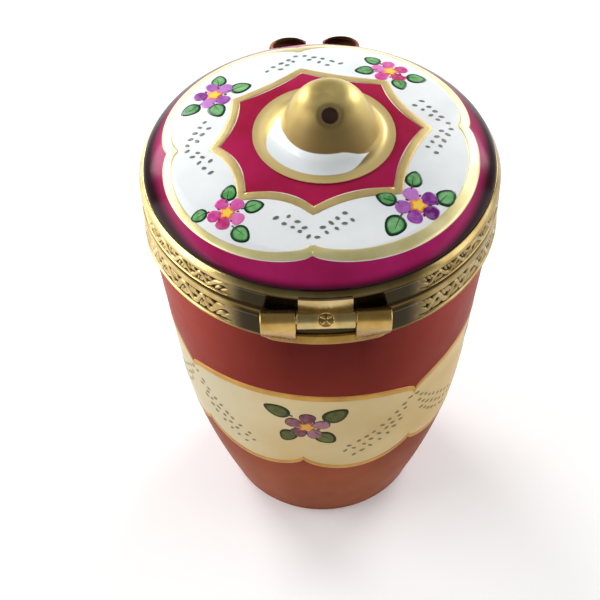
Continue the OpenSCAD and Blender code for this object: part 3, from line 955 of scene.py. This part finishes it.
def make_loop(sign, bounds, name, node):
    """One puffed ribbon loop, pinched at the knot, with a hollow front and creases that run from the knot."""
    low, high = bounds
    length = max(abs(low[0]), abs(high[0]))
    (mid_y, mid_z), (half_d, half_h) = ((high + low) / 2)[1:], ((high - low) / 2)[1:]
    rings = []
    for s in np.linspace(0.1, 1, LOOP_ROWS):
        x = sign * length * (0.06 + 0.94 * math.sin(s * math.pi / 2) ** 1.1)
        swell = math.sin(s**0.62 * math.pi * 0.97) ** 0.5 if s < 1 else 0.04
        tall = half_h * 1.06 * max(swell, 0.04)
        deep = half_d * (0.45 + 0.55 * swell) if s < 0.5 else half_d * max(swell, 0.05) ** 0.8
        ring = []
        for a in circle(LOOP_COLUMNS):
            crease = 1 + 0.07 * math.cos(7 * a + 0.6) * (1 - s) ** 0.7 * min(1, s * 4)
            dent = 0.55 * half_d * math.exp(-((s - 0.62) / 0.22) ** 2) * max(0, math.sin(a)) ** 2
            ring.append((x, mid_y + (deep * crease - dent) * math.sin(a),
                         mid_z + tall * crease * math.cos(a) + 0.13 * half_h * math.sin(s * 3)))
        rings.append(ring)
    make_piece(name, *rod(rings), MATERIALS["clasp_bronze"], "lid", "clasp_bronze", [node], sharp_angle=60)


def make_bow_knot():
    low, high = BOW_KNOT
    half, mid = (high - low) / 2, (high + low) / 2
    rings = []
    for t in np.linspace(-1, 1, KNOT_ROWS):
        size = 0.78 + 0.22 * (1 - abs(t) ** 3.2) ** 0.5
        ring = []
        for a in circle(KNOT_COLUMNS):
            wide = size * (1 - 0.06 * math.cos(3 * math.pi * t) * max(0, math.sin(a)))
            ring.append(mid + half * (0.92 * t, wide * math.sin(a), wide * math.cos(a)))
        rings.append(ring)
    make_piece("bow_band", *rod(rings), MATERIALS["clasp_bronze"], "lid", "clasp_bronze", ["bow_knot"],
               sharp_angle=50)


# ---- painted decoration

LINE_OVERLAP = 0.04

# Gold lines on the band: the edge they follow, their width, and the way into the band
BAND_LINES = (("band_top", 1.1, -1), ("band_bottom", 0.9, 1))
TICK_H, EYE_H = PAINT_H * 1.5, PAINT_H * 1.7


def gold_line(name, finish, body, *line, **shape):
    points, faces = painted_line(*line, **shape)
    make_piece(name, points, faces, MATERIALS[finish], body, "painted_gold")


def gold_lines():
    """Raised gold outlines: star, lid border, both edges of the jar's band."""
    star = star_outline()
    star *= 1 + STAR_LINE / 2 / np.linalg.norm(star, axis=1, keepdims=True)
    gold_line("gold_star_line", "painted_gold", "lid", crown, star, STAR_LINE / 2 + LINE_OVERLAP)

    angles = np.linspace(-180, 180, 720, endpoint=False)
    outer, inner = scallop("lid_out", angles), scallop("lid_in", angles)
    middle = np.array([crown.spot(a, r) for a, r in zip(angles, (outer + inner) / 2)])
    gold_line("gold_lid_border", "pale_gold", "lid", crown, middle, (outer - inner) / 2 + 0.05, columns=9)

    for edge, width, way in BAND_LINES:
        path = np.stack([np.radians(angles) * GIRTH_R, scallop(edge, angles) + way * width / 2], -1)
        gold_line("gold_" + edge, "amber_gold", "jar", side, path, width / 2 + LINE_OVERLAP, upright=True)


def beside(start, angle, along, across=0.0):
    """Points at distances along and across a direction from a start."""
    c, s = math.cos(angle), math.sin(angle)
    return start + np.stack([along * c - across * s, along * s + across * c], -1)


def petal_outline(start, angle, length, width, count=20):
    """Rounded petal that points along angle."""
    a = circle(count)
    along = length * (0.5 + 0.5 * np.cos(a))
    return beside(start, angle, along, width / 2 * np.sin(a) * (0.75 + 0.25 * np.cos(a)))


def leaf_outline(root, angle, length, width):
    """Leaf with a drawn-out tip."""
    a = circle(26)
    t = 0.5 - 0.5 * np.cos(a)
    return beside(root, angle, length * t**0.9, width / 2 * np.sin(a) * (1.15 - 0.55 * t))


def flower_spray(surface, name, body, middle, size, turn, tones, leaves, seed, faded=""):
    """Five petals round a yellow eye, with dark ticks between them, and outlined leaves."""
    dice = random.Random(seed)
    petals = Batch()
    for k in range(5):
        angle = math.radians(turn + 72 * k + dice.uniform(-7, 7))
        length = size * dice.uniform(1.04, 1.16)
        width = size * dice.uniform(1.10, 1.26)
        start = beside(middle, angle, 0.18 * size)
        petals.dab(surface, beside(start, angle, 0.5 * length), petal_outline(start, angle, length, width),
                   tones[k])
    lobes = circle(20) + math.radians(turn)
    reach = 0.44 * size * (1 + 0.22 * np.cos(5 * lobes))
    eye = middle + np.stack([reach * np.cos(lobes), reach * np.sin(lobes)], -1)
    petals.dab(surface, middle, eye, dice.random(), 1, EYE_H)
    for k in range(5):
        angle = math.radians(turn + 36 + 72 * k)
        spot = beside(middle, angle, 0.55 * size)
        tick = petal_outline(spot, angle, 0.20 * size, 0.13 * size, 10)
        petals.dab(surface, beside(spot, angle, 0.1 * size), tick, 0.5, 2, TICK_H)
    petals.make(name + "_petals", [MATERIALS[faded + "petal"], MATERIALS[faded + "eye"], MATERIALS["tick"]],
                body, "painted_petals")
    greens = Batch()
    for dx, dy, scale in leaves:
        angle = math.atan2(dy, dx) + dice.uniform(-0.35, 0.35)
        length = size * 1.30 * scale
        heart = middle + np.array([dx, dy])
        root = beside(heart, angle, -0.5 * length)
        outline = leaf_outline(root, angle, length, length * 0.88)
        greens.dab(surface, heart, outline, dice.uniform(0.2, 0.9))
        vein = np.array([beside(root, angle + 0.1 * math.sin(3 * t), t * length)
                         for t in np.linspace(-0.08, 0.62, 8)])
        half_width = 0.055 * size * np.linspace(1.2, 0.4, 8)
        greens.add(*painted_line(surface, vein, half_width, TICK_H, 5, closed=False), kind=1)
    greens.make(name + "_leaves", [MATERIALS[faded + "leaf"], MATERIALS["leaf_line"]], body, "painted_leaves")


# Sprays on the lid: angle, radius, petal size, turn, tone of each petal and where each leaf lies
LID_SPRAYS = (
    (-43, 14.6, 1.70, 38, (0.18, 0.20, 0.26, 0.44, 0.12),
     ((0.2, 2.6, 1.05), (-3.0, 0.2, 0.9), (2.8, 0.5, 1.05), (1.4, -2.8, 1.15))),
    (44, 14.4, 2.00, 42, (0.86, 0.62, 0.72, 0.78, 0.96),
     ((-3.3, 0.7, 0.95), (3.1, 1.4, 1.05), (-2.6, -2.7, 1.15), (-0.2, 3.5, 0.95))),
    (143, 13.9, 1.80, 15, (0.30, 0.18, 0.10, 0.24, 0.42),
     ((-2.9, 0.0, 1.05), (2.9, -1.1, 1.05), (0.9, -2.5, 1.0), (-1.9, 2.2, 0.95))),
    (236, 14.0, 1.95, 30, (0.64, 0.72, 0.84, 0.60, 0.76),
     ((3.0, 0.8, 1.05), (-2.6, -2.1, 1.0), (0.4, -2.9, 1.05), (0.5, 2.7, 0.95))),
)

# Sprays on the band: angle and turn of each, and what they share
JAR_SPRAYS = ((-7, 18), (84, 30), (172, 12), (262, 24))
JAR_SPRAY_Z, JAR_SPRAY_SIZE = 25.9, 2.15
JAR_SPRAY_TONES = (0.15, 0.75, 0.45, 0.70, 0.20)
JAR_LEAVES = ((-3.4, 2.7, 1.2), (3.3, 2.4, 1.25), (-2.3, -2.3, 1.0), (2.2, -2.3, 1.1))


def painted_flowers():
    for i, (angle, r, *spray) in enumerate(LID_SPRAYS):
        flower_spray(crown, f"lid_spray_{i + 1}", "lid", crown.spot(angle, r), *spray, 20 + i)
    for i, (angle, turn) in enumerate(JAR_SPRAYS):
        flower_spray(side, f"jar_spray_{i + 1}", "jar", side.spot(angle, JAR_SPRAY_Z), JAR_SPRAY_SIZE, turn,
                     JAR_SPRAY_TONES, JAR_LEAVES, 40 + i, "faded_")


# Strings of dots hang both ways from each cusp. For each body: its paint and surface, the cusps, the
# strings with their inset and how far from the cusp they start and end, the bends between, in degrees,
# the place of each end or bend with its share of the inset, and the spacing and size of the dots
GARLANDS = {
    "lid": ("dot", crown, LID_CUSPS, ((0.0, 0, 21), (0.95, 2, 17)), (10,),
            ((14.75, 1.1), (13.6, 1), (12.7, 1)), 1.10, 0.64),
    "jar": ("faded_dot", side, BAND_CUSPS, ((0.0, 0, 27), (1.5, 2, 29), (3.0, 4, 24)), (9, 19),
            ((28.0, 1.25), (25.2, 1), (22.6, 0.9), (21.2, 0.75)), 1.20, 0.66),
}


def garland(surface, batch, ends, spacing, size, dice):
    """Loose row of small dabs along a path through a few spots."""
    path = np.array([surface.spot(*end) for end in ends])
    steps = np.linalg.norm(np.diff(path, axis=0), axis=1)
    along = np.concatenate([[0], np.cumsum(steps)])
    a = circle(10)
    place = spacing / 2
    while place < along[-1]:
        spot = np.array([np.interp(place, along, path[:, i]) for i in (0, 1)])
        spot += [dice.uniform(-0.08, 0.08), dice.uniform(-0.08, 0.08)]
        angle = dice.uniform(-0.5, 0.5) + (0.4 if dice.random() < 0.5 else -0.3)
        length, width = size * dice.uniform(0.85, 1.25), size * dice.uniform(0.55, 0.75)
        outline = beside(spot, angle, length / 2 * np.cos(a), width / 2 * np.sin(a))
        batch.dab(surface, spot, outline, dice.random())
        place += spacing * dice.uniform(0.85, 1.15)


def dotted_garlands():
    dice = random.Random(11)
    for body, (paint, surface, cusps, strings, bends, places, spacing, size) in GARLANDS.items():
        dots = Batch()
        for cusp in cusps:
            for way in (-1, 1):
                for inset, near, far in strings:
                    ends = [(cusp + way * degrees, place - inset * share)
                            for degrees, (place, share) in zip((near, *bends, far), places)]
                    garland(surface, dots, ends, spacing, size, dice)
        dots.make(body + "_dots", MATERIALS[paint], body, "painted_dots")


# ---- finishes and kept CAD nodes

PETAL_TONES = [(0.0, (0.78, 0.28, 0.62)), (0.22, (0.60, 0.035, 0.27)), (0.42, (0.48, 0.003, 0.085)),
               (0.60, (0.50, 0.19, 0.56)), (0.80, (0.22, 0.022, 0.29)), (1.0, (0.085, 0.006, 0.11))]
LEAF_TONES = [(0.0, (0.045, 0.22, 0.05)), (0.5, (0.08, 0.34, 0.08)), (1.0, (0.22, 0.50, 0.20))]
FADED_TONES = [(0.0, (0.36, 0.18, 0.22)), (0.5, (0.17, 0.052, 0.070)), (1.0, (0.100, 0.026, 0.036))]
FADED_LEAF_TONES = [(0.0, (0.055, 0.064, 0.016)), (1.0, (0.13, 0.135, 0.038))]
LEAF_EDGE = (0.004, 0.032, 0.012)
DULL = 0.03

# Darker and lighter tone, roughness and scale of the noise, then the bump and metallic values if unusual
METALS = {
    "polished_brass": ((0.50, 0.36, 0.15), (0.64, 0.50, 0.25), (0.18, 0.28), 300),
    "hinge_brass": ((0.40, 0.240, 0.055), (0.54, 0.350, 0.105), (0.22, 0.34), 300),
    "hinge_lip_brass": ((0.25, 0.135, 0.028), (0.36, 0.215, 0.050), (0.20, 0.30), 300),
    "clasp_bronze": ((0.085, 0.026, 0.015), (0.15, 0.055, 0.028), (0.12, 0.22), 380),
    "painted_gold": ((0.47, 0.335, 0.115), (0.59, 0.455, 0.190), (0.36, 0.46), 320, 0.1, 0.5),
    "pale_gold": ((0.68, 0.60, 0.26), (0.80, 0.73, 0.40), (0.28, 0.40), 260, 0.1, 0.5),
    "amber_gold": ((0.40, 0.180, 0.014), (0.53, 0.280, 0.030), (0.38, 0.48), 320, 0.1, 0.55),
}

# Colour of the middle and of the outline, width of the outline, then the tones, wash and gloss if unusual
PAINTS = {
    "petal": ((0.74, 0.34, 0.66), (0.78, 0.42, 0.68), 0.09, PETAL_TONES),
    "eye": ((0.90, 0.60, 0.07), (0.78, 0.22, 0.03), 0.42),
    "tick": ((0.10, 0.015, 0.04), (0.08, 0.01, 0.03), 0.1),
    "leaf": ((0.34, 0.56, 0.33), LEAF_EDGE, 0.40, LEAF_TONES, 0.6),
    "leaf_line": ((0.010, 0.045, 0.014), LEAF_EDGE, 0.1),
    "dot": ((0.13, 0.16, 0.12), (0.30, 0.33, 0.27), 0.28),
    "faded_petal": ((0.40, 0.22, 0.26), (0.075, 0.026, 0.026), 0.18, FADED_TONES, 0.30, DULL),
    "faded_eye": ((0.62, 0.32, 0.08), (0.42, 0.14, 0.03), 0.35, None, 0.25, DULL),
    "faded_leaf": ((0.18, 0.165, 0.055), (0.030, 0.032, 0.010), 0.38, FADED_LEAF_TONES, 0.45, DULL),
    "faded_dot": ((0.185, 0.165, 0.080), (0.33, 0.28, 0.15), 0.28, None, 0.25, DULL),
}
MATERIALS = {"embossed_brass": embossed_brass()}
MATERIALS |= {name: metal(name, *look) for name, look in METALS.items()}
MATERIALS |= {name: dab_paint(name + "_paint", *look) for name, look in PAINTS.items()}


def dress_kept_nodes():
    """Better finishes for the CAD nodes that are kept."""
    f = material("plaster")
    plaster = f.finish({"Base Color": f.speckled((0.58, 0.54, 0.46), (0.70, 0.67, 0.58), 900),
                        "Roughness": f.roughness(3000, 5, 0.75, 0.95)})
    finishes = dict.fromkeys(("lower_cement", "upper_cement"), plaster)
    finishes |= dict.fromkeys(("lower_seat_ring", "upper_seat_ring", "hinge_leaf_upper", "hinge_pin",
                               "catch_bead", "clasp_tongue"), MATERIALS["polished_brass"])
    for name, finish in finishes.items():
        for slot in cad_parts[name].material_slots:
            slot.link = "OBJECT"
            slot.material = finish


# ---- studio

LAMP_TARGET = Vector((0, 0, 0.045))


def grey(value):
    return (value, value, value)


def make_floor():
    """White floor that glows more with distance, so that it has no visible edge."""
    f = material("studio_floor")
    distance = f.node("VectorMath", {0: f.coordinates()}, operation="LENGTH").outputs["Value"]
    f.finish({"Base Color": f.speckled(grey(0.86), grey(0.90), 3), "Roughness": 0.6,
              "Specular IOR Level": 0.2, "Emission Color": grey(1),
              "Emission Strength": f.remap(distance, 0.12, 0.70, 0.16, 0.66)})
    bpy.ops.mesh.primitive_circle_add(vertices=96, radius=6.0, fill_type="NGON", location=(0, 0, 0))
    floor = bpy.context.object
    floor.name = "studio_floor"
    floor.data.materials.append(f.owner)


def make_world():
    """White room: brightest near the horizon and behind the jar, darker overhead."""
    world = Tree(bpy.data.worlds.new("studio"), "Background")
    parts = world.node("SeparateXYZ", {"Vector": world.coordinates("Generated")}).outputs
    height = world.ramp(parts["Z"], [(0.0, (0.94, 0.94, 0.93)), (0.10, grey(0.88)), (0.26, grey(0.50)),
                                     (0.50, (0.31, 0.31, 0.32)), (1.0, (0.22, 0.22, 0.23))])
    depth = world.ramp(world.remap(parts["Y"], -1, 1),
                       [(0.0, grey(0.84)), (0.5, grey(0.90)), (0.85, grey(1.0)), (1.0, grey(1.45))])
    world.finish({"Color": world.mix(1.0, height, depth, "MULTIPLY"), "Strength": 1.0})
    bpy.context.scene.world = world.owner


# Direction from the lid, distance and size in metres, and watts
LIGHTS = {
    "back_left": ((-0.54, 0.70, 0.42), 0.55, (0.26, 0.26), 2.1),
    "back_right": ((0.56, 0.68, 0.42), 0.55, (0.26, 0.26), 1.6),
    "left_low": ((-0.95, -0.02, 0.30), 0.60, (0.52, 0.46), 3.3),
    "right_low": ((0.95, 0.02, 0.30), 0.60, (0.52, 0.46), 1.6),
}


def area_light(name, direction, distance, size, watts):
    """Soft light aimed at the middle of the lid."""
    lamp = bpy.data.lights.new(name, "AREA")
    lamp.shape = "RECTANGLE"
    lamp.size, lamp.size_y = size
    lamp.energy = watts
    holder = bpy.data.objects.new(name, lamp)
    bpy.context.scene.collection.objects.link(holder)
    way = Vector(direction).normalized()
    holder.location = LAMP_TARGET + way * distance
    holder.rotation_mode = "QUATERNION"
    holder.rotation_quaternion = way.to_track_quat("Z", "Y")
    holder.visible_camera = False


CAMERA_TARGET = Vector((0, 0, 49.2)) * MM
CAMERA_DISTANCE = 0.170
CAMERA_AZIMUTH, CAMERA_ELEVATION = -1.4, 43.9
CAMERA_YAW, CAMERA_PITCH, CAMERA_ROLL = -0.79, -4.75, -0.56
CAMERA_LENS = 91.2


def turn_pair(first, second, degrees):
    """Turns two axes in their own plane, the first towards the second."""
    c, s = math.cos(math.radians(degrees)), math.sin(math.radians(degrees))
    return first * c + second * s, second * c - first * s


def make_camera():
    """Camera above the hinge side, aimed a little below the collar."""
    az, el = math.radians(CAMERA_AZIMUTH), math.radians(CAMERA_ELEVATION)
    back = Vector((math.cos(el) * math.sin(az), -math.cos(el) * math.cos(az), math.sin(el)))
    aim = -back
    right = aim.cross(Vector((0, 0, 1))).normalized()
    up = right.cross(aim)
    aim, right = turn_pair(aim, right, CAMERA_YAW)
    aim, up = turn_pair(aim, up, CAMERA_PITCH)
    right, up = turn_pair(right, up, CAMERA_ROLL)
    data = bpy.data.cameras.new("photo_camera")
    data.lens = CAMERA_LENS
    data.clip_start, data.clip_end = 0.01, 50
    camera = bpy.data.objects.new("photo_camera", data)
    bpy.context.scene.collection.objects.link(camera)
    turn = Matrix((right, up, -aim)).transposed().to_4x4()
    camera.matrix_world = Matrix.Translation(CAMERA_TARGET + back * CAMERA_DISTANCE) @ turn
    bpy.context.scene.camera = camera


# ---- the object

make_jar()
make_lid()
make_knob()
make_collar("lower", "jar")
make_collar("upper", "lid")
make_outer_knuckle(-1, "hinge_knuckle_left", "hinge_left")
make_outer_knuckle(1, "hinge_knuckle_right", "hinge_right")
make_centre_knuckle()
make_leaf_lip()
make_loop(-1, BOW_LEFT, "bow_left", "bow_loop_left")
make_loop(1, BOW_RIGHT, "bow_right", "bow_loop_right")
make_bow_knot()
gold_lines()
painted_flowers()
dotted_garlands()
dress_kept_nodes()
make_floor()
make_world()
for name, settings in LIGHTS.items():
    area_light(name, *settings)
make_camera()
bpy.context.scene.view_settings.view_transform = "Standard"
